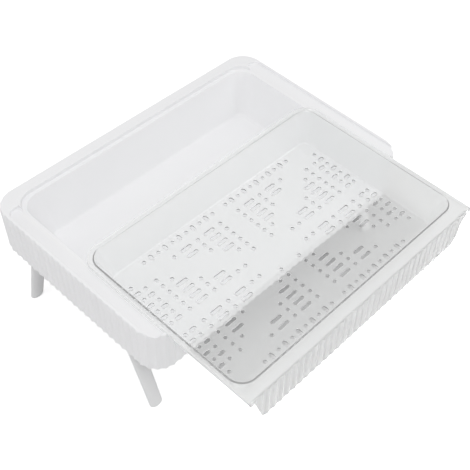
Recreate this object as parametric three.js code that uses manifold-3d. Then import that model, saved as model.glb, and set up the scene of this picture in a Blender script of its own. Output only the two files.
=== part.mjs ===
// A cup drying rack: a white fluted casing on four plug-in legs, with a clear drawer tray that
// slides out at the front. Millimetres, +Z up, the ground at z = 0 and the front facing -Y.
// The pieces are drawn with z = 0 on the rim of the casing and the whole rack is lifted at the end.

import * as THREE from 'three';
import { mergeVertices } from 'three/addons/utils/BufferGeometryUtils.js';
import Module from 'manifold-3d';

const wasm = await Module();
wasm.setup();

// The stand and the slide
const standHeight = 141.5;
const pulledOut = 106;
const overrun = 1;
const cornerSteps = 8;

// The outside of the casing
const casingLength = 380;
const casingWidth = 255;
const casingHeight = 59.5;
const casingCornerRadius = 27;
const casingDraft = 1;
const casingWall = 2.4;
const skirtFootRound = 2.4;
const rimEdgeRound = 1.2;

// The flutes, which run on from the casing to the panel of the tray
const flutePitch = 9.4;
const fluteDepth = 1.3;
const fluteTopDrop = 2.2;
const fluteEndHeight = 2.2;
const fluteSteps = 3;

// The rim, its grips at the sides and the ledge that the tray rests on
const sideRimWidth = 18.8;
const backRimWidth = 14.8;
const rimInnerRadius = 22;
const ledgeDrop = 5;
const ledgeWidth = 4;
const gripBeadWidth = 4.5;
const gripOuterDrop = 2.4;
const gripFrontMargin = 5.5;
const gripBackMargin = 24.5;
const gripEndRadius = 9;

// The basin inside the casing, whose floor stands a little above the foot of the skirt, and the low
// lip at its front
const basinFloorHeight = 2.5;
const basinWallAngle = THREE.MathUtils.degToRad(19);
const basinTopRadius = 22;
const basinFloorRadius = 12;
const basinFloorRound = 5;
const frontLipDrop = 45;
const frontLipWidth = 5;

// The drawer tray
const traySideClearance = 0.6;
const trayBackClearance = 0.5;
const trayRestClearance = 0.3;
const trayTopDrop = 0.5;
const trayWall = 2;
const trayLipWidth = 2;
const trayFlangeWidth = 6.3;
const trayFrontFlangeWidth = 17;
const trayDepth = 37;
const trayWallAngle = THREE.MathUtils.degToRad(20);
const trayTopRadius = 17;
const trayFloorRadius = 10;
const trayFloorRound = 3;
const panelThickness = 2.8;
const panelSideGap = 2.5;

// The drain pattern in the floor of the tray
const drainHoleRadius = 2;
const drainSideMargin = 8.3;
const drainRowPitch = 10.1;
const longSlotLength = 14.6;
const shortSlotLength = 8;
const endRowMargin = 7.5;
const endRowPitch = 20;
const endRowHoleCount = 12;
const endSlotLength = 7.4;
const drainArcSteps = 3;

// The legs. The insets are how far the middle of a leg stands in from the sides, front and back of
// the casing: at the foot of the skirt, and on the ground, where the front legs reach out further.
const legSideInset = 14;
const legTopInset = 51.5;
const legFrontFootInset = 21.5;
const legRearFootInset = 30;
const legTopLength = 17.6;
const legTopWidth = 10.4;
const legFootLength = 15.6;
const legFootWidth = 9.4;
const legFootRound = 1.6;
const legPlugShoulder = 1.5;
const legPlugDepth = 30;
const legPlugChamfer = 1.2;
const socketClearance = 0.3;
const socketWall = 2;
const socketRecess = 3;
const legSteps = 20;

// Each list names the columns by their share of the way from the middle of the floor to the last
// column, and the rows that they have counted from the middle row
const holeColumnShares = [
  { share: 0.098, rows: [2, 3, 4, 5, 6, 7] },
  { share: 0.182, rows: [3] },
  { share: 0.26, rows: [1] },
  { share: 0.337, rows: [1, 5, 6, 7] },
  { share: 0.579, rows: [1, 2, 3, 7] },
  { share: 0.73, rows: [5] },
  { share: 0.821, rows: [1, 2, 3, 4, 5, 6] },
  { share: 0.923, rows: [2, 4, 6] },
  { share: 1, rows: [1, 3, 5, 7] },
];
const longSlotColumnShares = [
  { share: 0.219, rows: [4, 5, 6, 7] },
  { share: 0.458, rows: [1, 2, 6, 7] },
  { share: 0.7, rows: [1, 2, 3, 4] },
];
const shortSlotColumnShares = [
  { share: 0.93, rows: [1, 3, 5] },
  { share: 1, rows: [2, 4, 6] },
];

// Places that follow from the sizes above
const rimInnerHalf = casingLength / 2 - sideRimWidth;
const rimInnerBack = casingWidth / 2 - backRimWidth;
const casingFront = -casingWidth / 2;
const trayHalf = rimInnerHalf - traySideClearance;
const trayBack = rimInnerBack - trayBackClearance;
const trayLipHeight = ledgeDrop - trayTopDrop - trayRestClearance;
const trayLipFoot = -(trayTopDrop + trayLipHeight);
const panelFoot = -(frontLipDrop - trayRestClearance);
const trayFloorTop = -(trayTopDrop + trayDepth);
const socketMouth = -(casingHeight - socketRecess);

// The basin follows the inner edge of the ledge and its walls fall in evenly. Its front wall stands
// back from the front of the casing by the width of the lip at the lip's own height.
const basin = {
  half: rimInnerHalf - ledgeWidth,
  back: rimInnerBack - ledgeWidth,
  front: casingFront + frontLipWidth - Math.tan(basinWallAngle) * (frontLipDrop - ledgeDrop),
  top: -ledgeDrop,
  depth: casingHeight - basinFloorHeight - ledgeDrop,
  angle: basinWallAngle,
  topRadius: basinTopRadius,
  floorRadius: basinFloorRadius,
  floorRound: basinFloorRound,
};

// The bowl of the tray, at the place it has with the tray pushed home
const trayBowl = {
  half: trayHalf - trayFlangeWidth,
  back: trayBack - trayFlangeWidth,
  front: casingFront + trayFrontFlangeWidth,
  top: -trayTopDrop,
  depth: trayDepth,
  angle: trayWallAngle,
  topRadius: trayTopRadius,
  floorRadius: trayFloorRadius,
  floorRound: trayFloorRound,
};

// The four quarters of the rack: front left, front right, rear left and rear right
const quarters = [[-1, -1], [1, -1], [-1, 1], [1, 1]];

function solid(geometry) {
  geometry.deleteAttribute('normal');
  geometry.deleteAttribute('uv');
  const merged = mergeVertices(geometry);
  return new wasm.Manifold(new wasm.Mesh({
    numProp: 3,
    vertProperties: new Float32Array(merged.attributes.position.array),
    triVerts: new Uint32Array(merged.index.array),
  }));
}

function joinAll(solids) {
  return solids.reduce((whole, next) => whole.add(next));
}

// A closed body through rings that have the same number of points, from the lowest ring up
function loft(rings) {
  const count = rings[0].points.length;
  const positions = rings.flatMap(({ points, z }) => points.flatMap((point) => [point.x, point.y, z]));
  const indices = [];
  for (let level = 1; level < rings.length; level += 1) {
    const low = (level - 1) * count;
    const high = level * count;
    for (let i = 0; i < count; i += 1) {
      const next = (i + 1) % count;
      indices.push(low + i, low + next, high + next, low + i, high + next, high + i);
    }
  }
  const last = (rings.length - 1) * count;
  for (const [a, b, c] of THREE.ShapeUtils.triangulateShape(rings[0].points, [])) {
    indices.push(c, b, a);
  }
  for (const [a, b, c] of THREE.ShapeUtils.triangulateShape(rings.at(-1).points, [])) {
    indices.push(last + a, last + b, last + c);
  }
  const geometry = new THREE.BufferGeometry();
  geometry.setAttribute('position', new THREE.Float32BufferAttribute(positions, 3));
  geometry.setIndex(indices);
  return solid(geometry);
}

// An outline drawn in plan, standing from the height low to the height high
function standing(shape, low, high) {
  const size = { depth: high - low, bevelEnabled: false, curveSegments: cornerSteps };
  return solid(new THREE.ExtrudeGeometry(shape, size).translate(0, 0, low));
}

// An outline drawn in x and z, reaching from the place front to the place back along y
function facing(shape, front, back) {
  const geometry = new THREE.ExtrudeGeometry(shape, { depth: back - front, bevelEnabled: false });
  return solid(geometry.rotateX(Math.PI / 2).translate(0, back, 0));
}

// A rectangle with round corners as points, anticlockwise from the front right corner
function roundedRectangle(half, front, back, radius) {
  const corners = [
    [half - radius, front + radius, -1],
    [half - radius, back - radius, 0],
    [-half + radius, back - radius, 1],
    [-half + radius, front + radius, 2],
  ];
  return corners.flatMap(([x, y, quarter]) => Array.from({ length: cornerSteps + 1 }, (_, i) => {
    const angle = (quarter + i / cornerSteps) * Math.PI / 2;
    return new THREE.Vector2(x + radius * Math.cos(angle), y + radius * Math.sin(angle));
  }));
}

// The outline of the casing with flutes, found by walking round it from the middle of the front.
// Each flute is hollow and meets the next at a sharp arris.
function flutedRectangle(inset, depth) {
  const half = casingLength / 2;
  const side = casingWidth / 2;
  const straightX = half - casingCornerRadius;
  const straightY = side - casingCornerRadius;
  const arc = casingCornerRadius * Math.PI / 2;
  const round = 4 * (straightX + straightY + arc);
  const fluteCount = 2 * Math.round(round / flutePitch / 2);
  const stepCount = fluteCount * fluteSteps;
  return Array.from({ length: stepCount }, (_, step) => {
    const flute = step / fluteSteps + 0.5;
    const dip = inset + depth * Math.abs(Math.cos(Math.PI * flute));
    const travelled = (flute / fluteCount) * round;
    return outlinePoint(travelled % round, { straightX, straightY, arc }, dip);
  });
}

// The point a given way along the rounded outline, moved in by dip
function outlinePoint(travelled, { straightX, straightY, arc }, dip) {
  const radius = casingCornerRadius - dip;
  const stretches = [
    { length: straightX, x: 0, y: -straightY, along: [1, 0] },
    { length: arc, x: straightX, y: -straightY, start: -1 },
    { length: 2 * straightY, x: straightX, y: -straightY, along: [0, 1] },
    { length: arc, x: straightX, y: straightY, start: 0 },
    { length: 2 * straightX, x: straightX, y: straightY, along: [-1, 0] },
    { length: arc, x: -straightX, y: straightY, start: 1 },
    { length: 2 * straightY, x: -straightX, y: straightY, along: [0, -1] },
    { length: arc, x: -straightX, y: -straightY, start: 2 },
    { length: straightX, x: -straightX, y: -straightY, along: [1, 0] },
  ];
  let rest = travelled;
  let index = 0;
  while (index < stretches.length - 1 && rest > stretches[index].length) {
    rest -= stretches[index].length;
    index += 1;
  }
  const { x, y, along, start } = stretches[index];
  if (along) {
    const [dx, dy] = along;
    return new THREE.Vector2(x + dx * rest + dy * radius, y + dy * rest - dx * radius);
  }
  const angle = (start + rest / arc) * Math.PI / 2;
  return new THREE.Vector2(x + radius * Math.cos(angle), y + radius * Math.sin(angle));
}

// The heights at which a fluted wall changes: flutes of full depth that end in a short slope under
// a smooth band, and a rounded top edge
function flutedRings(outline, foot, top) {
  const slopeTop = top - fluteTopDrop;
  return [
    ...foot,
    { points: outline(0, fluteDepth), z: slopeTop - fluteEndHeight },
    { points: outline(0, 0), z: slopeTop },
    { points: outline(0, 0), z: top - rimEdgeRound },
    { points: outline(rimEdgeRound, 0), z: top },
  ];
}

// A bowl with sloping walls and a rounded floor edge. With grow it is the bowl's outer side, and
// with rise it stands on above its top edge.
function bowlSolid(bowl, grow, rise) {
  const slope = Math.tan(bowl.angle);
  const sideways = grow / Math.cos(bowl.angle);
  const depth = bowl.depth + grow;
  const round = bowl.floorRound + grow;
  const ring = (inset, z) => {
    const down = inset / (slope * bowl.depth);
    const radius = bowl.topRadius + (bowl.floorRadius - bowl.topRadius) * down + sideways;
    const shift = sideways - inset;
    return {
      points: roundedRectangle(bowl.half + shift, bowl.front - shift, bowl.back + shift, radius),
      z,
    };
  };
  const floorInset = slope * depth;
  const centreInset = floorInset - slope * round + round / Math.cos(bowl.angle);
  const roundSteps = 3;
  const rings = Array.from({ length: roundSteps + 1 }, (_, step) => {
    const turn = (step / roundSteps) * (Math.PI / 2 - bowl.angle);
    return ring(centreInset - round * Math.sin(turn), bowl.top - depth + round * (1 - Math.cos(turn)));
  });
  rings.push(ring(0, bowl.top));
  if (rise) rings.push(ring(0, bowl.top + rise));
  return loft(rings);
}

// A plan outline with a square front and round back corners
function tongueShape(half, front, back, radius) {
  const shape = new THREE.Shape();
  shape.moveTo(-half, front);
  shape.lineTo(half, front);
  shape.lineTo(half, back - radius);
  shape.absarc(half - radius, back - radius, radius, 0, Math.PI / 2);
  shape.lineTo(-half + radius, back);
  shape.absarc(-half + radius, back - radius, radius, Math.PI / 2, Math.PI);
  return shape;
}

// Half the length of the basin at a height below the rim
function basinHalfAt(z) {
  return basin.half - Math.tan(basin.angle) * (-ledgeDrop - z);
}

// The gap in the front wall, which is the section of the basin above the lip
function notchCavity(grow) {
  const ledge = -ledgeDrop - grow;
  const lip = -frontLipDrop - grow;
  const sideways = grow / Math.cos(basin.angle);
  const halves = [
    [rimInnerHalf + grow, overrun],
    [rimInnerHalf + grow, ledge],
    [basinHalfAt(ledge) + sideways, ledge],
    [basinHalfAt(lip) + sideways, lip],
  ];
  const points = [
    ...halves.map(([x, z]) => new THREE.Vector2(-x, z)),
    ...halves.reverse().map(([x, z]) => new THREE.Vector2(x, z)),
  ];
  return facing(new THREE.Shape(points), casingFront - overrun, basin.front + casingCornerRadius + grow);
}

function ledgeCavity(grow) {
  const shape = tongueShape(
    rimInnerHalf + grow,
    casingFront - overrun,
    rimInnerBack + grow,
    rimInnerRadius + grow,
  );
  return standing(shape, -ledgeDrop - grow, overrun);
}

// The shallow finger grip in a side rim: its floor falls from the outer bead to the ledge
function gripCavity(side, grow) {
  const inner = rimInnerHalf - overrun;
  const outer = casingLength / 2 - gripBeadWidth + grow;
  const front = casingFront + gripFrontMargin - grow;
  const back = casingWidth / 2 - gripBackMargin + grow;
  const radius = gripEndRadius + grow;
  const fall = (ledgeDrop - gripOuterDrop) / (outer - grow - inner);
  const shape = new THREE.Shape();
  shape.moveTo(inner, front);
  shape.lineTo(outer - radius, front);
  shape.absarc(outer - radius, front + radius, radius, -Math.PI / 2, 0);
  shape.lineTo(outer, back - radius);
  shape.absarc(outer - radius, back - radius, radius, 0, Math.PI / 2);
  shape.lineTo(inner, back);
  const size = { depth: overrun, bevelEnabled: false, curveSegments: cornerSteps };
  const geometry = new THREE.ExtrudeGeometry(shape, size);
  const position = geometry.attributes.position;
  for (let i = 0; i < position.count; i += 1) {
    const floor = -ledgeDrop - grow + fall * (position.getX(i) - inner);
    position.setZ(i, position.getZ(i) > 0 ? overrun : floor);
  }
  if (side < 0) geometry.rotateZ(Math.PI).translate(0, front + back, 0);
  return solid(geometry);
}

// An oval ring of a leg, its socket or its post, for the leg on the given sides of the rack
function legRing(sideX, sideY, length, width, z) {
  const top = casingWidth / 2 - legTopInset;
  const foot = casingWidth / 2 - (sideY < 0 ? legFrontFootInset : legRearFootInset);
  const up = (z + standHeight) / (standHeight - casingHeight);
  const x = sideX * (casingLength / 2 - legSideInset);
  const oval = new THREE.EllipseCurve(x, sideY * (foot + (top - foot) * up), length / 2, width / 2);
  return { points: oval.getPoints(legSteps).slice(0, legSteps), z };
}

function legSocket(sideX, sideY) {
  const length = legTopLength - 2 * legPlugShoulder + 2 * socketClearance;
  const width = legTopWidth - 2 * legPlugShoulder + 2 * socketClearance;
  const ring = (z) => legRing(sideX, sideY, length, width, z);
  return loft([ring(socketMouth - overrun), ring(socketMouth + legPlugDepth + socketClearance)]);
}

// The post that hangs from the rim beside the basin and holds the socket
function legPost(sideX, sideY) {
  const around = 2 * (socketWall + socketClearance - legPlugShoulder);
  const ring = (z) => legRing(sideX, sideY, legTopLength + around, legTopWidth + around, z);
  return loft([ring(socketMouth), ring(-casingWall)]);
}

function casingSolid() {
  const foot = [
    { points: flutedRectangle(casingDraft + skirtFootRound, fluteDepth), z: -casingHeight },
    { points: flutedRectangle(casingDraft, fluteDepth), z: -casingHeight + skirtFootRound },
  ];
  const block = loft(flutedRings(flutedRectangle, foot, 0));
  const cavities = (grow) => joinAll([
    bowlSolid(basin, grow, ledgeDrop + overrun),
    notchCavity(grow),
    ledgeCavity(grow),
    gripCavity(1, grow),
    gripCavity(-1, grow),
  ]);
  const inset = (extra, z) => {
    const half = casingLength / 2 - casingWall - extra;
    const side = casingWidth / 2 - casingWall - extra;
    return { points: roundedRectangle(half, -side, side, casingCornerRadius - casingWall - extra), z };
  };
  const posts = joinAll(quarters.map(([sideX, sideY]) => legPost(sideX, sideY)));
  const sockets = joinAll(quarters.map(([sideX, sideY]) => legSocket(sideX, sideY)));
  const hollow = loft([inset(casingDraft, -casingHeight - overrun), inset(0, -casingWall)])
    .subtract(cavities(casingWall))
    .subtract(posts);
  return block.subtract(cavities(0)).subtract(hollow).subtract(sockets);
}

// The fluted front panel: a slab with flutes in step with the casing's, cut to the notch with a
// gap at its sloping ends, and with ears at the height of the flange
function panelSolid() {
  const half = trayHalf;
  const stepLength = flutePitch / fluteSteps;
  const arrisCount = Math.floor(half / flutePitch - 0.5);
  const firstArris = -(arrisCount + 0.5) * flutePitch;
  const stepCount = (2 * arrisCount + 1) * fluteSteps;
  const places = Array.from({ length: stepCount + 1 }, (_, step) => firstArris + step * stepLength);
  const outline = (inset, depth) => {
    const front = [-half, ...places, half].map((x) => {
      const dip = depth * Math.abs(Math.cos(Math.PI * x / flutePitch));
      return new THREE.Vector2(x, casingFront + inset + dip);
    });
    const back = casingFront + panelThickness;
    return [...front, new THREE.Vector2(half, back), new THREE.Vector2(-half, back)];
  };
  const slab = loft(flutedRings(outline, [{ points: outline(0, fluteDepth), z: panelFoot }], -trayTopDrop));
  const halves = [
    [half + overrun, 0],
    [half + overrun, trayLipFoot],
    [basinHalfAt(trayLipFoot) - panelSideGap, trayLipFoot],
    [basinHalfAt(panelFoot) - panelSideGap, panelFoot - overrun],
  ];
  const face = new THREE.Shape([
    ...halves.map(([x, z]) => new THREE.Vector2(-x, z)),
    ...halves.reverse().map(([x, z]) => new THREE.Vector2(x, z)),
  ]);
  return slab.intersect(facing(face, casingFront - overrun, casingFront + panelThickness + overrun));
}

// A drain slot with round ends, or a round hole where the slot is no longer than it is wide
function drainSolid(x, y, length, alongY) {
  const reach = length / 2 - drainHoleRadius;
  const endSteps = reach > 0 ? drainArcSteps + 1 : drainArcSteps;
  const points = [1, -1].flatMap((end) => Array.from({ length: endSteps }, (_, i) => {
    const angle = (i / drainArcSteps - 0.5) * Math.PI;
    const place = new THREE.Vector2(Math.cos(angle), Math.sin(angle)).multiplyScalar(end * drainHoleRadius);
    return place.setX(place.x + end * reach);
  }));
  const hole = standing(new THREE.Shape(points), trayFloorTop - trayWall - overrun, trayFloorTop + overrun);
  return hole.rotate([0, 0, alongY ? 90 : 0]).translate([x, y, 0]);
}

// Every opening of the drain pattern, which is alike in all four quarters of the floor
function drainSolids() {
  const fall = Math.tan(trayBowl.angle) * trayBowl.depth;
  const lastColumn = trayBowl.half - fall - drainSideMargin;
  const middle = (trayBowl.front + trayBowl.back) / 2;
  const endRow = (trayBowl.back - trayBowl.front) / 2 - fall - endRowMargin;
  const found = [];
  const addColumns = (columns, length) => {
    for (const { share, rows } of columns) {
      for (const row of rows) {
        for (const [sideX, sideY] of quarters) {
          const x = sideX * share * lastColumn;
          found.push(drainSolid(x, middle + sideY * row * drainRowPitch, length, false));
        }
      }
    }
  };
  addColumns(holeColumnShares, 2 * drainHoleRadius);
  addColumns(longSlotColumnShares, longSlotLength);
  addColumns(shortSlotColumnShares, shortSlotLength);
  for (const side of [-1, 1]) {
    for (let i = 0; i < endRowHoleCount; i += 1) {
      const place = i - (endRowHoleCount - 1) / 2;
      found.push(drainSolid(place * endRowPitch, middle + side * endRow, 2 * drainHoleRadius, false));
      const slotPlace = place + Math.sign(place) / 2;
      if (Math.abs(slotPlace) < endRowHoleCount / 2) {
        found.push(drainSolid(slotPlace * endRowPitch, middle + side * endRow, endSlotLength, true));
      }
    }
  }
  return found;
}

function traySolid() {
  const backRadius = rimInnerRadius - traySideClearance;
  const flange = standing(
    tongueShape(trayHalf, casingFront + panelThickness / 2, trayBack, backRadius),
    trayLipFoot,
    -trayTopDrop,
  );
  const underFlange = standing(
    tongueShape(
      trayHalf - trayLipWidth,
      casingFront + panelThickness,
      trayBack - trayLipWidth,
      backRadius - trayLipWidth,
    ),
    trayLipFoot - overrun,
    -trayTopDrop - trayWall,
  );
  return flange
    .subtract(underFlange)
    .add(panelSolid())
    .add(bowlSolid(trayBowl, trayWall, 0))
    .subtract(bowlSolid(trayBowl, 0, overrun))
    .subtract(joinAll(drainSolids()));
}

// A leg from its foot on the ground to the tip of the plug in the casing. The foot is rounded to a
// small flat, and the shoulder stands just under the mouth of the socket.
function legSolid(sideX, sideY) {
  const shoulder = socketMouth - socketClearance;
  const legLength = shoulder + standHeight;
  const ring = (inset, z) => {
    const up = (z + standHeight) / legLength;
    const length = legFootLength + (legTopLength - legFootLength) * up - 2 * inset;
    const width = legFootWidth + (legTopWidth - legFootWidth) * up - 2 * inset;
    return legRing(sideX, sideY, length, width, z);
  };
  const footSteps = 3;
  const rings = Array.from({ length: footSteps + 1 }, (_, step) => {
    const turn = (step / footSteps) * Math.PI / 2;
    return ring(legFootRound * (1 - Math.sin(turn)), -standHeight + legFootRound * (1 - Math.cos(turn)));
  });
  const plug = (inset, z) => {
    const shrink = 2 * (legPlugShoulder + inset);
    return legRing(sideX, sideY, legTopLength - shrink, legTopWidth - shrink, z);
  };
  const tip = shoulder + legPlugDepth;
  return loft([
    ...rings,
    ring(0, shoulder),
    plug(0, shoulder),
    plug(0, tip - legPlugChamfer),
    plug(legPlugChamfer, tip),
  ]);
}

function meshFrom(name, body, material) {
  const { vertProperties, triVerts } = body.getMesh();
  const geometry = new THREE.BufferGeometry();
  geometry.setAttribute('position', new THREE.BufferAttribute(new Float32Array(vertProperties), 3));
  geometry.setIndex(new THREE.BufferAttribute(new Uint32Array(triVerts), 1));
  geometry.computeVertexNormals();
  const mesh = new THREE.Mesh(geometry, material);
  mesh.name = name;
  return mesh;
}

const whitePlastic = () => new THREE.MeshStandardMaterial({ color: 0xe8e8ea, roughness: 0.42, metalness: 0 });
const clearPlastic = () => new THREE.MeshStandardMaterial({
  color: 0xdde2e1,
  roughness: 0.08,
  metalness: 0,
  transparent: true,
  opacity: 0.4,
});

// Everything that stands still, with z = 0 on the rim, and the tray pulled out towards the front
const rack = new THREE.Group();
rack.position.set(0, pulledOut / 2, standHeight);
rack.add(meshFrom('casing', casingSolid(), whitePlastic()));
const legNames = ['leg_front_left', 'leg_front_right', 'leg_rear_left', 'leg_rear_right'];
quarters.forEach(([sideX, sideY], i) => {
  rack.add(meshFrom(legNames[i], legSolid(sideX, sideY), whitePlastic()));
});

const drawer = new THREE.Group();
drawer.position.set(0, -pulledOut, 0);
drawer.add(meshFrom('drawer_tray', traySolid(), clearPlastic()));
rack.add(drawer);

const cupDryingRack = new THREE.Group();
cupDryingRack.add(rack);

export default cupDryingRack;
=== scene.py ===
import math

import bmesh
import bpy
from mathutils import Matrix, Vector


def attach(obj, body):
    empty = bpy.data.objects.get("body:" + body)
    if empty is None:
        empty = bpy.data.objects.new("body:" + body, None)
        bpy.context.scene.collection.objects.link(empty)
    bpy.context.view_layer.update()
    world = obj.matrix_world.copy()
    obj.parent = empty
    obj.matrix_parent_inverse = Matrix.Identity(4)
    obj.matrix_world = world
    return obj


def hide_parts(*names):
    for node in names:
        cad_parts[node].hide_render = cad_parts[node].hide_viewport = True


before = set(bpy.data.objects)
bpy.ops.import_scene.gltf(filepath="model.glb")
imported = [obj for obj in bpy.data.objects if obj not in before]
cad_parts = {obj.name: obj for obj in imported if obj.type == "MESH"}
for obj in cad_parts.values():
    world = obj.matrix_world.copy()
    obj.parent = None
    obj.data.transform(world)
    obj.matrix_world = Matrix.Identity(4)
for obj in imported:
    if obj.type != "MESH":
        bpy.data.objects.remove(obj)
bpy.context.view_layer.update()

# The rack and its tray are drawn in millimetres, with z = 0 on the rim and y = 0 at the middle of
# the casing, then set in place in metres with the tray pulled out
place = dict(standHeight=141.5, pulledOut=106)
overrun = 1              # how far a cutting shape goes past the faces it cuts
millimetres = Matrix.Scale(0.001, 4)


def placed(y):
    return millimetres @ Matrix.Translation((0, y, place["standHeight"]))


toRack = placed(place["pulledOut"] / 2)
toTray = placed(-place["pulledOut"] / 2)


# Shapes are grown ring by ring: a circle of points is set in place, then drawn out level by level

def ringEdges(bm, ring):
    return [bm.edges.get((vert, ring[i - 1])) for i, vert in enumerate(ring)]


def firstRing(bm, points):
    ring = bmesh.ops.create_circle(bm, segments=len(points), radius=1)["verts"]
    for vert, point in zip(ring, points):
        vert.co = point
    return ring


def nextRing(bm, ring, points):
    made = bmesh.ops.extrude_edge_only(bm, edges=ringEdges(bm, ring))["geom"]
    fresh = {item for item in made if isinstance(item, bmesh.types.BMVert)}
    grown = []
    for vert, point in zip(ring, points):
        across = [edge.other_vert(vert) for edge in vert.link_edges]
        twin = next(other for other in across if other in fresh)
        twin.co = point
        grown.append(twin)
    return grown


def growSolid(bm, rings):
    ring = firstRing(bm, rings[0])
    bmesh.ops.contextual_create(bm, geom=ringEdges(bm, ring))
    for points in rings[1:]:
        ring = nextRing(bm, ring, points)
    bmesh.ops.contextual_create(bm, geom=ringEdges(bm, ring))


def solidObject(name, *ringSets):
    bm = bmesh.new()
    for rings in ringSets:
        growSolid(bm, rings)
    bmesh.ops.recalc_face_normals(bm, faces=bm.faces)
    mesh = bpy.data.meshes.new(name)
    bm.to_mesh(mesh)
    bm.free()
    made = bpy.data.objects.new(name, mesh)
    bpy.context.scene.collection.objects.link(made)
    return made


def combine(body, operation, *tools):
    for tool in tools:
        cut = body.modifiers.new("combine", "BOOLEAN")
        cut.operation = operation
        cut.solver = "MANIFOLD"
        cut.object = tool
    ready = body.evaluated_get(bpy.context.evaluated_depsgraph_get())
    mesh = bpy.data.meshes.new_from_object(ready)
    body.modifiers.clear()
    body.data = mesh
    for tool in tools:
        bpy.data.objects.remove(tool)
    return body


shading = dict(weldDistance=0.0005, sharpAngle=math.radians(50))


# Sets a finished shape in metres, with soft shading that breaks only at real edges
def finishShape(body, name, toPlace):
    body.name = body.data.name = name
    bm = bmesh.new()
    bm.from_mesh(body.data)
    bmesh.ops.remove_doubles(bm, verts=bm.verts, dist=shading["weldDistance"])
    for face in bm.faces:
        face.smooth = True
    for edge in bm.edges:
        edge.smooth = edge.calc_face_angle(0) < shading["sharpAngle"]
    bmesh.ops.transform(bm, matrix=toPlace, verts=bm.verts)
    bm.to_mesh(body.data)
    bm.free()
    weighted = body.modifiers.new("weighted", "WEIGHTED_NORMAL")
    weighted.keep_sharp = True
    return body


# The angles from 0 to 90 degrees, in even steps
def quarterTurn(steps):
    return [math.pi / 2 * step / steps for step in range(steps + 1)]


# A rectangle with round corners, anticlockwise from the front right corner
def rectangleRing(half, front, back, radius, z, cornerSteps=12):
    centres = [
        (half - radius, front + radius),
        (half - radius, back - radius),
        (-half + radius, back - radius),
        (-half + radius, front + radius),
    ]
    return [
        (x + radius * math.cos(turn), y + radius * math.sin(turn), z)
        for quarter, (x, y) in enumerate(centres)
        for turn in [angle + (quarter - 1) * math.pi / 2 for angle in quarterTurn(cornerSteps)]
    ]


# A plan outline with a square front and round back corners
def tongueRing(half, front, back, radius, z, cornerSteps=12):
    arc = [(math.cos(turn), math.sin(turn)) for turn in quarterTurn(cornerSteps)]
    right = [(half - radius + radius * x, back - radius + radius * y, z) for x, y in arc]
    left = [(-x, y, height) for x, y, height in reversed(right)]
    return [(-half, front, z), (half, front, z), *right, *left]


# The flutes: scooped channels with softened arrises, which run out through a rounded top edge

flutes = dict(
    pitch=9.4, depth=1.3,
    fullness=1.3,        # the higher, the broader the rounding of the arrises
    endRise=3.5,         # how far the round ends would reach above the top
    softness=0.14,       # of the line where a flute meets the rounded edge
    steps=12,
    edgeInset=2.4, edgeHeight=3.6, edgeSteps=8,
)


# How far a fluted wall is cut in, at a distance along the wall from the middle of a flute and a
# drop from the top: the scooped flute or the rounded edge, whichever is deeper
def fluteInset(along, drop, pitch):
    above = max(pitch / 2 - flutes["endRise"] - drop, 0)
    aside = math.hypot(along, above) / (pitch / 2)
    dip = flutes["depth"] * max(1 - aside ** 2, 0) ** flutes["fullness"]
    rise = max(1 - drop / flutes["edgeHeight"], 0)
    inset = flutes["edgeInset"] * (1 - math.sqrt(1 - rise ** 2))
    return (dip + inset + math.hypot(dip - inset, flutes["softness"])) / 2


# The drops from the top at which a fluted wall changes, from the lowest up
def fluteDrops():
    turns = quarterTurn(flutes["edgeSteps"])
    return [flutes["edgeHeight"] * (1 - math.sin(turn)) for turn in turns]


# Where a flute's width is cut into strips, as shares of it
def fluteShares():
    return [step / flutes["steps"] for step in range(flutes["steps"])]


# The casing

casing = dict(
    length=380, width=255, height=59.5, cornerRadius=27, draft=1, wall=2.4,
    footRound=2.4, footSteps=5,
    sideRim=18.8, backRim=14.8, rimInnerRadius=22,
    ledgeDrop=5, ledgeWidth=4,
    edgeSoft=0.8, edgeSteps=4, cornerSoft=0.6, cornerSteps=3,
    beadWidth=4.5, gripDrop=2.4, gripFrontMargin=5.5, gripBackMargin=24.5,
    gripEndRadius=9, gripEndSteps=10, gripSoft=1.2,
    basinDepth=57, basinAngle=math.radians(19),
    basinTopRadius=22, basinFloorRadius=12, basinFloorRound=5,
    lipDrop=45, lipWidth=5,
)
rimHalf = casing["length"] / 2 - casing["sideRim"]
rimBack = casing["width"] / 2 - casing["backRim"]
casingFront = -casing["width"] / 2


# Walks once round the outline from the middle of the front, where a flute is centred, and gives
# each place, its outward direction and its distance from the middle of its flute. Each stretch has
# its length, the place where it starts or the middle of its arc, its quarter and whether it turns.
def fluteWalk():
    radius = casing["cornerRadius"]
    straightX = casing["length"] / 2 - radius
    straightY = casing["width"] / 2 - radius
    arc = radius * math.pi / 2
    roundTrip = 4 * (straightX + straightY + arc)
    fluteCount = 2 * round(roundTrip / flutes["pitch"] / 2)
    stretches = [
        (straightX, (0, -straightY), 0, False),
        (arc, (straightX, -straightY), 0, True),
        (2 * straightY, (straightX, -straightY), 1, False),
        (arc, (straightX, straightY), 1, True),
        (2 * straightX, (straightX, straightY), 2, False),
        (arc, (-straightX, straightY), 2, True),
        (2 * straightY, (-straightX, straightY), 3, False),
        (arc, (-straightX, -straightY), 3, True),
        (straightX, (-straightX, -straightY), 4, False),
    ]
    walked = []
    for flute in range(fluteCount):
        for share in fluteShares():
            rest = (flute + 0.5 + share) / fluteCount * roundTrip % roundTrip
            for length, (x, y), quarter, turning in stretches:
                if rest <= length:
                    break
                rest -= length
            turn = (quarter - 1) * math.pi / 2 + (rest / radius if turning else 0)
            out = Vector((math.cos(turn), math.sin(turn)))
            spot = Vector((x, y)) + radius * out
            if not turning:
                spot += rest * Vector((-math.sin(turn), math.cos(turn)))
            walked.append((spot, out, (share - 0.5) * roundTrip / fluteCount))
    return walked, roundTrip / fluteCount


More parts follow.
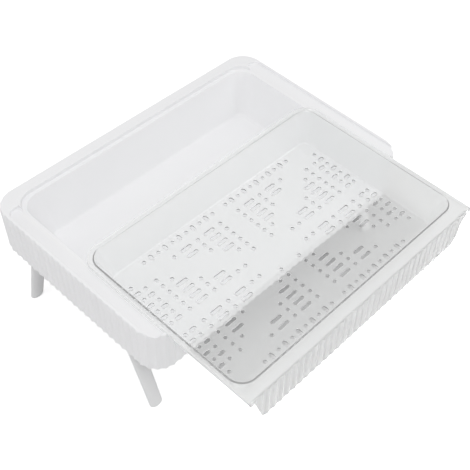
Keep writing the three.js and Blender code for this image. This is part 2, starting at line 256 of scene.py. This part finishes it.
def casingBlock():
    walked, pitch = fluteWalk()
    height = casing["height"]
    foot = casing["footRound"]
    levels = [
        (height - foot * (1 - math.cos(turn)), casing["draft"] + foot * (1 - math.sin(turn)))
        for turn in quarterTurn(casing["footSteps"])
    ] + [(drop, 0) for drop in fluteDrops()]
    rings = []
    for drop, drawn in levels:
        ring = []
        for spot, out, along in walked:
            inward = drawn + fluteInset(along, drop, pitch)
            ring.append((*(spot - inward * out), -drop))
        rings.append(ring)
    return solidObject("casingBlock", rings)


# A bowl with sloping walls and a rounded floor edge. grow makes its outer side, rise takes it up
# beyond its top, and soft rounds its top edge.
def bowlRings(bowl, grow=0, rise=0, soft=0, cornerSteps=16, roundSteps=6, softSteps=4):
    slope = math.tan(bowl["angle"])
    sideways = grow / math.cos(bowl["angle"])
    depth = bowl["depth"] + grow
    floorRound = bowl["floorRound"] + grow

    def ring(inset, z):
        down = inset / (slope * bowl["depth"])
        radius = bowl["topRadius"] + (bowl["floorRadius"] - bowl["topRadius"]) * down + sideways
        shift = sideways - inset
        half = bowl["half"] + shift
        front, back = bowl["front"] - shift, bowl["back"] + shift
        return rectangleRing(half, front, back, radius, z, cornerSteps)

    centreInset = slope * (depth - floorRound) + floorRound / math.cos(bowl["angle"])
    rings = []
    for step in range(roundSteps + 1):
        turn = step / roundSteps * (math.pi / 2 - bowl["angle"])
        rings.append(ring(
            centreInset - floorRound * math.sin(turn),
            bowl["top"] - depth + floorRound * (1 - math.cos(turn))))
    if soft:
        out = soft * (1 - math.sin(bowl["angle"])) / math.cos(bowl["angle"])
        start = bowl["top"] - soft
        for step in range(softSteps + 1):
            turn = bowl["angle"] + step / softSteps * (math.pi / 2 - bowl["angle"])
            rings.append(ring(soft * math.cos(turn) - out, start + soft * math.sin(turn)))
        rings.append(ring(-out, bowl["top"] + rise))
    else:
        rings.append(ring(0, bowl["top"]))
        if rise:
            rings.append(ring(0, bowl["top"] + rise))
    return rings


basin = dict(
    half=rimHalf - casing["ledgeWidth"],
    back=rimBack - casing["ledgeWidth"],
    front=casingFront + casing["lipWidth"]
    - math.tan(casing["basinAngle"]) * (casing["lipDrop"] - casing["ledgeDrop"]),
    top=-casing["ledgeDrop"],
    depth=casing["basinDepth"] - casing["ledgeDrop"],
    angle=casing["basinAngle"],
    topRadius=casing["basinTopRadius"],
    floorRadius=casing["basinFloorRadius"],
    floorRound=casing["basinFloorRound"],
)


def basinHalfAt(z):
    return basin["half"] - math.tan(basin["angle"]) * (-casing["ledgeDrop"] - z)


# The upright part of a recess: a rounded foot, then a wall, then a softened top edge on the rim, as
# how far out and how high each step is
def recessSteps(foot, top, inner, outer):
    steps = [
        (-inner + inner * math.sin(turn), foot + inner * (1 - math.cos(turn)))
        for turn in quarterTurn(casing["cornerSteps"])
    ] + [
        (outer - outer * math.cos(turn), top - outer + outer * math.sin(turn))
        for turn in quarterTurn(casing["edgeSteps"])
    ]
    return steps + [(outer, top + overrun)]


# The recess for the tray's flange. Here and below, grow gives the casing's inner side of a hollow.
def ledgeRings(grow=0):
    half = rimHalf + grow
    back = rimBack + grow
    radius = casing["rimInnerRadius"] + grow
    front = casingFront - overrun
    foot = -casing["ledgeDrop"] - grow
    if grow:
        return [tongueRing(half, front, back, radius, z) for z in (foot, overrun)]
    steps = recessSteps(foot, 0, casing["cornerSoft"], casing["edgeSoft"])
    return [tongueRing(half + out, front, back + out, radius + out, z) for out, z in steps]


# The gap in the front wall, which is the section of the basin above the lip
def notchRings(grow=0):
    ledge = -casing["ledgeDrop"] - grow
    lip = -casing["lipDrop"] - grow
    sideways = grow / math.cos(basin["angle"])
    right = [
        (rimHalf + grow, overrun),
        (rimHalf + grow, ledge),
        (basinHalfAt(ledge) + sideways, ledge),
        (basinHalfAt(lip) + sideways, lip),
    ]
    section = [*[(-x, z) for x, z in right], *reversed(right)]
    front = casingFront - overrun
    back = basin["front"] + casing["cornerRadius"] + grow
    return [[(x, y, z) for x, z in section] for y in (front, back)]


# The finger grip in a side rim, whose floor falls from the outer bead to the ledge
def gripRings(side, grow=0):
    inner = rimHalf - overrun
    outer = casing["length"] / 2 - casing["beadWidth"] + grow
    front = casingFront + casing["gripFrontMargin"] - grow
    back = casing["width"] / 2 - casing["gripBackMargin"] + grow
    radius = casing["gripEndRadius"] + grow
    fall = (casing["ledgeDrop"] - casing["gripDrop"]) / (outer - grow - inner)

    def ring(out, height, onFloor):
        turns = quarterTurn(casing["gripEndSteps"])
        arc = [(math.sin(turn), 1 - math.cos(turn)) for turn in turns]
        reach = radius + out
        lower = [(outer - radius + reach * x, front - out + reach * y) for x, y in arc]
        upper = [(x, front + back - y) for x, y in reversed(lower)]
        plan = [(inner, front - out), *lower, *upper, (inner, back + out)]
        floor = [-casing["ledgeDrop"] - grow + fall * (x - inner) for x, y in plan]
        return [
            (side * x, y, height + low if onFloor else height)
            for (x, y), low in zip(plan, floor)
        ]

    if grow:
        return [ring(0, 0, True), ring(0, overrun, False)]
    soft = casing["gripSoft"]
    edge = casing["edgeSoft"]
    rings = [
        ring(-soft + soft * math.sin(turn), soft * (1 - math.cos(turn)), True)
        for turn in quarterTurn(casing["cornerSteps"])
    ] + [
        ring(edge - edge * math.cos(turn), -edge + edge * math.sin(turn), False)
        for turn in quarterTurn(casing["edgeSteps"])
    ]
    return rings + [ring(edge, overrun, False)]


# The legs

legs = dict(
    sideInset=14, topInset=51.5, frontFootInset=21.5, rearFootInset=30,
    topLength=17.6, topWidth=10.4, footLength=15.6, footWidth=9.4, footRound=2, footSteps=6,
    plugShoulder=1.5, plugDepth=30, plugRound=1.2, plugSteps=3,
    socketClearance=0.3, socketWall=2, socketRecess=3, steps=48,
)
socketMouth = -(casing["height"] - legs["socketRecess"])
quarters = [(-1, -1), (1, -1), (-1, 1), (1, 1)]


# An oval round a leg's slanting middle line, which goes on up into its socket
def legRing(sideX, sideY, length, width, z):
    top = casing["width"] / 2 - legs["topInset"]
    foot = casing["width"] / 2 - legs["frontFootInset" if sideY < 0 else "rearFootInset"]
    up = (z + place["standHeight"]) / (place["standHeight"] - casing["height"])
    x = sideX * (casing["length"] / 2 - legs["sideInset"])
    y = sideY * (foot + (top - foot) * up)
    turns = [2 * math.pi * step / legs["steps"] for step in range(legs["steps"])]
    return [(x + length / 2 * math.cos(turn), y + width / 2 * math.sin(turn), z) for turn in turns]


def socketRings(sideX, sideY):
    shrink = 2 * (legs["plugShoulder"] - legs["socketClearance"])
    length, width = legs["topLength"] - shrink, legs["topWidth"] - shrink
    heights = (socketMouth - overrun, socketMouth + legs["plugDepth"] + legs["socketClearance"])
    return [legRing(sideX, sideY, length, width, z) for z in heights]


def postRings(sideX, sideY):
    around = 2 * (legs["socketWall"] + legs["socketClearance"] - legs["plugShoulder"])
    length, width = legs["topLength"] + around, legs["topWidth"] + around
    return [legRing(sideX, sideY, length, width, z) for z in (socketMouth, -casing["wall"])]


def legRings(sideX, sideY):
    shoulder = socketMouth - legs["socketClearance"]

    def ring(inset, z):
        up = (z + place["standHeight"]) / (shoulder + place["standHeight"])
        length = legs["footLength"] + (legs["topLength"] - legs["footLength"]) * up
        width = legs["footWidth"] + (legs["topWidth"] - legs["footWidth"]) * up
        return legRing(sideX, sideY, length - 2 * inset, width - 2 * inset, z)

    def plug(inset, z):
        shrink = 2 * (legs["plugShoulder"] + inset)
        return legRing(sideX, sideY, legs["topLength"] - shrink, legs["topWidth"] - shrink, z)

    foot = legs["footRound"]
    rings = [
        ring(foot * (1 - math.sin(turn)), -place["standHeight"] + foot * (1 - math.cos(turn)))
        for turn in quarterTurn(legs["footSteps"])
    ]
    tip = shoulder + legs["plugDepth"]
    edge = legs["plugRound"]
    rings += [ring(0, shoulder - edge / 2), ring(edge / 2, shoulder), plug(0, shoulder)]
    return rings + [
        plug(edge * (1 - math.cos(turn)), tip - edge + edge * math.sin(turn))
        for turn in quarterTurn(legs["plugSteps"])
    ]


def buildCasing():
    body = casingBlock()
    wall = casing["wall"]

    def inside(extra, z):
        half = casing["length"] / 2 - wall - extra
        side = casing["width"] / 2 - wall - extra
        return rectangleRing(half, -side, side, casing["cornerRadius"] - wall - extra, z)

    floor = inside(casing["draft"], -casing["height"] - overrun)
    hollow = solidObject("hollow", [floor, inside(0, -wall)])
    bowlRise = casing["ledgeDrop"] + overrun
    combine(
        hollow, "DIFFERENCE",
        solidObject("bowlOuter", bowlRings(basin, wall, bowlRise)),
        solidObject("notchOuter", notchRings(wall)),
        solidObject("ledgeOuter", ledgeRings(wall)),
        *[solidObject("gripOuter", gripRings(side, wall)) for side in (-1, 1)],
        *[solidObject("post", postRings(*quarter)) for quarter in quarters],
    )
    combine(
        body, "DIFFERENCE",
        solidObject("bowl", bowlRings(basin, 0, bowlRise, casing["edgeSoft"])),
        solidObject("notch", notchRings()),
        solidObject("ledge", ledgeRings()),
        *[solidObject("grip", gripRings(side)) for side in (-1, 1)],
        hollow,
        *[solidObject("socket", socketRings(*quarter)) for quarter in quarters],
    )
    return finishShape(body, "casingShell", toRack)


casingShell = buildCasing()
print("casing shaped:", len(casingShell.data.polygons), "faces")

legNames = ["leg_front_left", "leg_front_right", "leg_rear_left", "leg_rear_right"]
legPieces = {}
for legName, quarter in zip(legNames, quarters):
    leg = solidObject(legName + "_moulded", legRings(*quarter))
    legPieces[legName] = finishShape(leg, legName + "_moulded", toRack)
print("legs shaped:", len(legPieces))


# The drawer tray

tray = dict(
    sideClearance=0.6, backClearance=0.5, restClearance=0.3, topDrop=0.5,
    wall=2, lipWidth=2, flange=6.3, frontFlange=17, depth=37, angle=math.radians(20),
    topRadius=17, floorRadius=10, floorRound=3,
    edgeSoft=0.7, edgeSteps=4, bowlEdgeSoft=0.9, footSoft=0.4, footSteps=2,
    panelThickness=2.8, panelSideGap=2.5,
)
trayHalf = rimHalf - tray["sideClearance"]
trayBack = rimBack - tray["backClearance"]
trayLipFoot = -(casing["ledgeDrop"] - tray["restClearance"])
trayFloorTop = -(tray["topDrop"] + tray["depth"])
panelFoot = -(casing["lipDrop"] - tray["restClearance"])
trayBowl = dict(
    half=trayHalf - tray["flange"],
    back=trayBack - tray["flange"],
    front=casingFront + tray["frontFlange"],
    top=-tray["topDrop"],
    depth=tray["depth"],
    angle=tray["angle"],
    topRadius=tray["topRadius"],
    floorRadius=tray["floorRadius"],
    floorRound=tray["floorRound"],
)

# Each list gives a column's share of the way from the middle of the floor to the last column, and
# its rows counted from the middle row
drains = dict(
    radius=2, sideMargin=8.3, rowPitch=10.1, longSlot=14.6, shortSlot=8,
    endRowMargin=7.5, endRowPitch=20, endRowHoles=12, endSlot=7.4,
    holes=[
        (0.098, [2, 3, 4, 5, 6, 7]), (0.182, [3]), (0.26, [1]), (0.337, [1, 5, 6, 7]),
        (0.579, [1, 2, 3, 7]), (0.73, [5]), (0.821, [1, 2, 3, 4, 5, 6]), (0.923, [2, 4, 6]),
        (1, [1, 3, 5, 7]),
    ],
    longSlots=[(0.219, [4, 5, 6, 7]), (0.458, [1, 2, 6, 7]), (0.7, [1, 2, 3, 4])],
    shortSlots=[(0.93, [1, 3, 5]), (1, [2, 4, 6])],
    arcSteps=8, edgeSoft=0.6, edgeSteps=3,
    hair=0.001,          # keeps the two half circles of a round hole apart
)


# A round-ended slot, or a round hole, with softened edges at both faces of the floor
def drainRings(x, y, length, alongY=False):
    reach = max(length / 2 - drains["radius"], 0) + drains["hair"]
    soft = drains["edgeSoft"]

    def ring(grow, z):
        radius = drains["radius"] + grow
        outline = []
        for end in (1, -1):
            for step in range(drains["arcSteps"] + 1):
                turn = (step / drains["arcSteps"] - 0.5) * math.pi
                along = reach + radius * math.cos(turn)
                outline.append((end * along, end * radius * math.sin(turn)))
        if alongY:
            return [(x - v, y + u, z) for u, v in outline]
        return [(x + u, y + v, z) for u, v in outline]

    low = trayFloorTop - tray["wall"]
    turns = quarterTurn(drains["edgeSteps"])
    return [
        ring(soft, low - overrun),
        *[ring(soft * (1 - math.sin(turn)), low + soft * (1 - math.cos(turn))) for turn in turns],
        *[
            ring(soft * (1 - math.cos(turn)), trayFloorTop - soft * (1 - math.sin(turn)))
            for turn in turns
        ],
        ring(soft, trayFloorTop + overrun),
    ]


def allDrains():
    fall = math.tan(trayBowl["angle"]) * trayBowl["depth"]
    lastColumn = trayBowl["half"] - fall - drains["sideMargin"]
    middle = (trayBowl["front"] + trayBowl["back"]) / 2
    endRow = (trayBowl["back"] - trayBowl["front"]) / 2 - fall - drains["endRowMargin"]
    across = 2 * drains["radius"]
    found = []
    for kind, length in (
        ("holes", across),
        ("longSlots", drains["longSlot"]),
        ("shortSlots", drains["shortSlot"]),
    ):
        for share, rows in drains[kind]:
            for row in rows:
                for sideX, sideY in quarters:
                    spot = (sideX * share * lastColumn, middle + sideY * row * drains["rowPitch"])
                    found.append(drainRings(*spot, length))
    for side in (-1, 1):
        y = middle + side * endRow
        for i in range(drains["endRowHoles"]):
            pitches = i - (drains["endRowHoles"] - 1) / 2
            found.append(drainRings(pitches * drains["endRowPitch"], y, across))
            pitches += math.copysign(0.5, pitches)
            if abs(pitches) < drains["endRowHoles"] / 2:
                x = pitches * drains["endRowPitch"]
                found.append(drainRings(x, y, drains["endSlot"], alongY=True))
    return found


# The panel: a slab with flutes in step with the casing's, cut to the shape of the notch
def panelObject():
    pitch = flutes["pitch"]
    fluteCount = 2 * math.floor(trayHalf / pitch - 0.5) + 1
    start = -fluteCount / 2 * pitch
    places = [
        (start + (flute + share) * pitch, (share - 0.5) * pitch)
        for flute in range(fluteCount) for share in fluteShares()
    ] + [(-start, pitch / 2)]
    ends = trayHalf + overrun
    back = casingFront + tray["panelThickness"]
    rings = []
    top = -tray["topDrop"]
    for drop in [top - panelFoot + overrun] + fluteDrops():
        front = [(x, casingFront + fluteInset(along, drop, pitch)) for x, along in places]
        edge = casingFront + fluteInset(pitch / 2, drop, pitch)
        plan = [(-ends, edge), *front, (ends, edge), (ends, back), (-ends, back)]
        rings.append([(x, y, top - drop) for x, y in plan])
    right = [
        (trayHalf, 0),
        (trayHalf, trayLipFoot),
        (basinHalfAt(trayLipFoot) - tray["panelSideGap"], trayLipFoot),
        (basinHalfAt(panelFoot) - tray["panelSideGap"], panelFoot),
    ]
    section = [*[(-x, z) for x, z in right], *reversed(right)]
    faces = (casingFront - overrun, back + overrun)
    outline = solidObject("panelOutline", [[(x, y, z) for x, z in section] for y in faces])
    return combine(solidObject("panel", rings), "INTERSECT", outline)


def buildTray():
    radius = casing["rimInnerRadius"] - tray["sideClearance"]
    foot = tray["footSoft"]
    soft = tray["edgeSoft"]
    top = -tray["topDrop"]
    front = casingFront + (flutes["edgeInset"] + tray["panelThickness"]) / 2
    steps = [
        (-foot + foot * math.sin(turn), trayLipFoot + foot * (1 - math.cos(turn)))
        for turn in quarterTurn(tray["footSteps"])
    ] + [
        (-soft + soft * math.cos(turn), top - soft + soft * math.sin(turn))
        for turn in quarterTurn(tray["edgeSteps"])
    ]
    flange = [
        tongueRing(trayHalf + out, front, trayBack + out, radius + out, z)
        for out, z in steps
    ]
    lip = tray["lipWidth"]
    panelBack = casingFront + tray["panelThickness"]
    under = [
        tongueRing(trayHalf - lip, panelBack, trayBack - lip, radius - lip, z)
        for z in (trayLipFoot - overrun, top - tray["wall"])
    ]
    body = solidObject("flange", flange)
    bowlOutside = solidObject("bowlOutside", bowlRings(trayBowl, tray["wall"]))
    bowlInside = solidObject("bowlInside", bowlRings(trayBowl, 0, overrun, tray["bowlEdgeSoft"]))
    combine(body, "DIFFERENCE", solidObject("underFlange", under))
    combine(body, "UNION", panelObject(), bowlOutside)
    combine(body, "DIFFERENCE", bowlInside, solidObject("drains", *allDrains()))
    return finishShape(body, "trayMoulding", toTray)


trayMoulding = buildTray()
print("tray shaped:", len(trayMoulding.data.polygons), "faces")


# The materials

def newMaterial(name):
    material = bpy.data.materials.new(name)
    material.use_nodes = True
    tree = material.node_tree
    return material, tree, tree.nodes["Principled BSDF"]


# Gives a socket a value, or the output of another node
def feed(tree, socket, value):
    if isinstance(value, bpy.types.NodeSocket):
        tree.links.new(value, socket)
    else:
        socket.default_value = value


def addNode(tree, kind, settings=None, **inputs):
    node = tree.nodes.new(kind)
    for key, value in (settings or {}).items():
        setattr(node, key, value)
    for key, value in inputs.items():
        feed(tree, node.inputs[key.replace("_", " ")], value)
    return node


def mathNode(tree, operation, *values):
    node = addNode(tree, "ShaderNodeMath", {"operation": operation})
    for socket, value in zip(node.inputs, values):
        feed(tree, socket, value)
    return node.outputs[0]


def spread(tree, value, fromRange, toRange=(0, 1), interpolation="LINEAR"):
    node = addNode(
        tree, "ShaderNodeMapRange", {"interpolation_type": interpolation},
        Value=value, From_Min=fromRange[0], From_Max=fromRange[1],
        To_Min=toRange[0], To_Max=toRange[1],
    )
    return node.outputs["Result"]


# Mixes two colours by their sockets' numbers, as their names are those of the plain mix too
def mixColours(tree, share, first, second):
    node = addNode(tree, "ShaderNodeMix", {"data_type": "RGBA"})
    for number, value in ((0, share), (6, first), (7, second)):
        feed(tree, node.inputs[number], value)
    return node.outputs[2]


noiseSpan = (0.3, 0.7)   # where nearly all of a noise's values lie


# A texture is a noise's scale and detail
def noiseNode(tree, spot, texture):
    scale, detail = texture
    noise = addNode(tree, "ShaderNodeTexNoise", Vector=spot, Scale=scale, Detail=detail)
    return noise.outputs["Fac"]


def noiseRange(tree, spot, texture, toRange=(0, 1)):
    return spread(tree, noiseNode(tree, spot, texture), noiseSpan, toRange)


def linkBump(tree, shader, height, strength, distance):
    bump = addNode(tree, "ShaderNodeBump", Height=height, Strength=strength, Distance=distance)
    tree.links.new(bump.outputs["Normal"], shader.inputs["Normal"])


whiteFinish = dict(
    casing=[(0.935, 0.935, 0.945), (0.92, 0.92, 0.932)],
    legs=[(0.84, 0.84, 0.845), (0.82, 0.82, 0.825)],
    drift=(14, 3), rubbing=(55, 4), roughness=(0.34, 0.46), ior=1.47,
    grain=(2600, 2), grainShare=0.05, wave=(22, 1), bumpStrength=0.3, bumpDistance=0.0003,
    # the next line sets the painted highlight: how far convex edges are painted paler
    edgeRange=(0.52, 0.6), edgeHighlight=0.5, highlightPaler=1.04, palest=0.95,
)


# White moulded plastic: slow drifts of tone, a faint mould grain, and convex edges painted paler as
# a painted highlight
def whitePlastic(name, tone, shade):
    material, tree, shader = newMaterial(name)
    spot = addNode(tree, "ShaderNodeTexCoord").outputs["Object"]
    drift = noiseRange(tree, spot, whiteFinish["drift"])
    colour = mixColours(tree, drift, (*shade, 1), (*tone, 1))
    # a painted highlight: convex edges, found by their pointiness, are painted paler
    edges = addNode(tree, "ShaderNodeNewGeometry").outputs["Pointiness"]
    highlitEdges = spread(tree, edges, whiteFinish["edgeRange"], (0, whiteFinish["edgeHighlight"]))
    pale = [min(part * whiteFinish["highlightPaler"], whiteFinish["palest"]) for part in tone]
    tree.links.new(mixColours(tree, highlitEdges, colour, (*pale, 1)), shader.inputs["Base Color"])
    rough = noiseRange(tree, spot, whiteFinish["rubbing"], whiteFinish["roughness"])
    tree.links.new(rough, shader.inputs["Roughness"])
    grain = noiseNode(tree, spot, whiteFinish["grain"])
    wave = noiseNode(tree, spot, whiteFinish["wave"])
    height = mathNode(tree, "MULTIPLY_ADD", grain, whiteFinish["grainShare"], wave)
    linkBump(tree, shader, height, whiteFinish["bumpStrength"], whiteFinish["bumpDistance"])
    shader.inputs["IOR"].default_value = whiteFinish["ior"]
    return material


clearFinish = dict(
    deep=(0.976, 0.98, 0.979), pale=(0.986, 0.99, 0.989),
    straight=(0.97, 0.974, 0.973),      # the tint of light that goes straight through
    drift=(9, 2), rubbing=(120, 5), roughness=(0.01, 0.05), ior=1.5,
    wave=(35, 2), bumpStrength=0.15, bumpDistance=0.0004,
    haze=0.38, frost=0.22, frostMargin=0.3,
    trappedDepth=8.5,                   # after so many faces, light goes straight on
)


# Clear moulded plastic with a faint grey-green body colour, a haze on its outer faces, the slow
# waves of moulding and fine rubbing
def clearPlastic(name):
    material, tree, shader = newMaterial(name)
    spot = addNode(tree, "ShaderNodeTexCoord").outputs["Object"]
    drift = noiseRange(tree, spot, clearFinish["drift"])
    colour = mixColours(tree, drift, (*clearFinish["deep"], 1), (*clearFinish["pale"], 1))
    tree.links.new(colour, shader.inputs["Base Color"])
    rough = noiseRange(tree, spot, clearFinish["rubbing"], clearFinish["roughness"])
    tree.links.new(rough, shader.inputs["Roughness"])
    wave = noiseNode(tree, spot, clearFinish["wave"])
    linkBump(tree, shader, wave, clearFinish["bumpStrength"], clearFinish["bumpDistance"])
    # the haze is on the outer faces, so that light runs on clearly inside the sheet, except in the
    # front panel, which is frosted right through
    within = addNode(tree, "ShaderNodeNewGeometry").outputs["Backfacing"]
    frontward = addNode(tree, "ShaderNodeSeparateXYZ", Vector=spot).outputs["Y"]
    panelBack = casingFront + tray["panelThickness"] + clearFinish["frostMargin"]
    onPanel = mathNode(tree, "LESS_THAN", frontward, (toTray @ Vector((0, panelBack, 0))).y)
    gain = mathNode(tree, "MULTIPLY_ADD", onPanel, -clearFinish["frost"], clearFinish["haze"])
    clear = mathNode(tree, "MULTIPLY_ADD", within, gain, 1 - clearFinish["haze"])
    tree.links.new(clear, shader.inputs["Transmission Weight"])
    shader.inputs["IOR"].default_value = clearFinish["ior"]
    # light from the lamps and from matt surfaces goes straight through, and so does what has been
    # thrown to and fro inside the sheet for long
    path = addNode(tree, "ShaderNodeLightPath")
    trapped = mathNode(
        tree, "GREATER_THAN", path.outputs["Ray Depth"], clearFinish["trappedDepth"])
    straight = mathNode(
        tree, "MAXIMUM", path.outputs["Is Shadow Ray"], path.outputs["Is Diffuse Ray"])
    window = addNode(tree, "ShaderNodeBsdfTransparent", Color=(*clearFinish["straight"], 1))
    mix = addNode(tree, "ShaderNodeMixShader")
    either = mathNode(tree, "MAXIMUM", straight, trapped)
    for socket, value in zip(mix.inputs, (either, shader.outputs[0], window.outputs[0])):
        tree.links.new(value, socket)
    tree.links.new(mix.outputs[0], tree.nodes["Material Output"].inputs["Surface"])
    return material


casingWhite = whitePlastic("casingWhite", *whiteFinish["casing"])
legWhite = whitePlastic("legWhite", *whiteFinish["legs"])
trayClear = clearPlastic("trayClear")


def dress(piece, material, body, node):
    piece.data.materials.clear()
    piece.data.materials.append(material)
    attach(piece, body)
    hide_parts(node)


dress(casingShell, casingWhite, "rack", "casing")
dress(trayMoulding, trayClear, "tray", "drawer_tray")
for legName, leg in legPieces.items():
    dress(leg, legWhite, "rack", legName)
print("pieces dressed")


# The floor, the light and the camera

# The studio, with the grey tone of the shadow painted on the floor beneath the rack
studio = dict(
    floorSize=4, floorTone=0.87, floorLift=0.55, paintedShadowTone=0.6,
    paper=(6, 2), paperRoughness=(0.86, 0.94), paperGloss=0.1,
    skyLevel=0.61, skySlope=(-0.08, 0.08, 0),
    bounces=20, clearBounces=16, mattBounces=6,
)
lamps = dict(
    overhead=dict(spot=(-0.5, -0.3, 1.6), size=(0.8, 0.8), power=6),
    right=dict(spot=(0.95, -1, 1.2), size=(1.4, 0.9), power=5.5),
    left=dict(spot=(-1.5, 0.1, 0.8), size=(0.9, 0.9), power=0.7),
)

# The shadow painted on the floor beneath the rack: for x and y, where each of its sides fades out
# and where it is full
paintedShadowSides = [(0, -0.108, -0.1), (0, 0.262, 0.225), (1, -0.122, -0.094), (1, 0.25, 0.2)]


def buildFloor():
    bm = bmesh.new()
    bmesh.ops.create_grid(bm, x_segments=2, y_segments=2, size=studio["floorSize"])
    mesh = bpy.data.meshes.new("studioFloor")
    bm.to_mesh(mesh)
    bm.free()
    floor = bpy.data.objects.new("studioFloor", mesh)
    bpy.context.scene.collection.objects.link(floor)
    material, tree, shader = newMaterial("floorPaper")
    spot = addNode(tree, "ShaderNodeTexCoord").outputs["Object"]
    sides = addNode(tree, "ShaderNodeSeparateXYZ", Vector=spot)
    # a painted shadow: the floor's colour is painted grey beneath the rack, fading out at each side
    shade = 1
    for axis, outer, inner in paintedShadowSides:
        side = spread(tree, sides.outputs[axis], (outer, inner), interpolation="SMOOTHSTEP")
        shade = mathNode(tree, "MULTIPLY", shade, side)
    light, paintedShadowGrey = [(tone, tone, tone, 1) for tone in (studio["floorTone"], studio["paintedShadowTone"])]
    tree.links.new(mixColours(tree, shade, light, paintedShadowGrey), shader.inputs["Base Color"])
    rough = noiseRange(tree, spot, studio["paper"], studio["paperRoughness"])
    tree.links.new(rough, shader.inputs["Roughness"])
    shader.inputs["Specular IOR Level"].default_value = studio["paperGloss"]
    # the paper glows white to the camera beside the rack, but throws no more light on it for that,
    # and beneath it keeps the grey of the painted shadow
    seen = addNode(tree, "ShaderNodeLightPath").outputs["Is Camera Ray"]
    beside = mathNode(tree, "MULTIPLY", seen, mathNode(tree, "SUBTRACT", 1, shade))
    lift = mathNode(tree, "MULTIPLY", beside, studio["floorLift"])
    shader.inputs["Emission Color"].default_value = (1, 1, 1, 1)
    tree.links.new(lift, shader.inputs["Emission Strength"])
    material.cycles.emission_sampling = "NONE"
    mesh.materials.append(material)


def buildLamp(name, spot, size, power):
    light = bpy.data.lights.new(name, "AREA")
    light.shape = "RECTANGLE"
    light.size, light.size_y = size
    light.energy = power
    lamp = bpy.data.objects.new(name, light)
    lamp.location = spot
    lamp.rotation_euler = (-Vector(spot)).to_track_quat("-Z", "Y").to_euler()
    bpy.context.scene.collection.objects.link(lamp)


def buildWorld():
    world = bpy.data.worlds.new("studioWorld")
    bpy.context.scene.world = world
    world.use_nodes = True
    tree = world.node_tree
    direction = addNode(tree, "ShaderNodeTexCoord").outputs["Generated"]
    slope = addNode(tree, "ShaderNodeVectorMath", {"operation": "DOT_PRODUCT"})
    tree.links.new(direction, slope.inputs[0])
    slope.inputs[1].default_value = studio["skySlope"]
    level = mathNode(tree, "ADD", slope.outputs["Value"], studio["skyLevel"])
    # beyond the paper's edge the camera sees the same white as the paper
    seen = addNode(tree, "ShaderNodeLightPath").outputs["Is Camera Ray"]
    tree.links.new(mathNode(tree, "MAXIMUM", level, seen), tree.nodes["Background"].inputs["Color"])


# The photograph's camera, solved from the casing, the tray and the feet: its place in millimetres,
# and its lens in the photograph's pixels
camera = dict(
    azimuth=math.radians(-50.5327), elevation=math.radians(48.474), roll=math.radians(4.5972),
    distance=971.936, right=76.676, up=-64.409,
    focal=892.202, middle=(275.788, 234.206), frame=470,
    sensorWidth=36, clipStart=0.05,
)


def buildCamera():
    turn, tilt = camera["azimuth"], camera["elevation"]
    level = math.cos(tilt)
    back = Vector((math.sin(turn) * level, -math.cos(turn) * level, math.sin(tilt)))
    right = (-back).cross(Vector((0, 0, 1))).normalized()
    up = right.cross(-back)
    c, s = math.cos(camera["roll"]), math.sin(camera["roll"])
    right, up = c * right + s * up, -s * right + c * up
    spot = back * camera["distance"] + right * camera["right"] + up * camera["up"]
    lens = bpy.data.cameras.new("photoCamera")
    lens.sensor_width = camera["sensorWidth"]
    lens.lens = camera["focal"] / camera["frame"] * camera["sensorWidth"]
    across, down = [share / camera["frame"] - 0.5 for share in camera["middle"]]
    lens.shift_x = -across
    lens.shift_y = down
    lens.clip_start = camera["clipStart"]
    holder = bpy.data.objects.new("photoCamera", lens)
    turned = Matrix((right, up, back)).transposed().to_4x4()
    holder.matrix_world = Matrix.Translation(toRack @ spot) @ turned
    bpy.context.scene.collection.objects.link(holder)
    bpy.context.scene.camera = holder


buildFloor()
buildWorld()
for lampName, lamp in lamps.items():
    buildLamp(lampName, **lamp)
buildCamera()

scene = bpy.context.scene
scene.view_settings.view_transform = "Standard"
scene.view_settings.look = "None"
scene.cycles.max_bounces = studio["bounces"]
scene.cycles.transmission_bounces = studio["clearBounces"]
scene.cycles.diffuse_bounces = studio["mattBounces"]
scene.cycles.use_denoising = True
print("studio set")
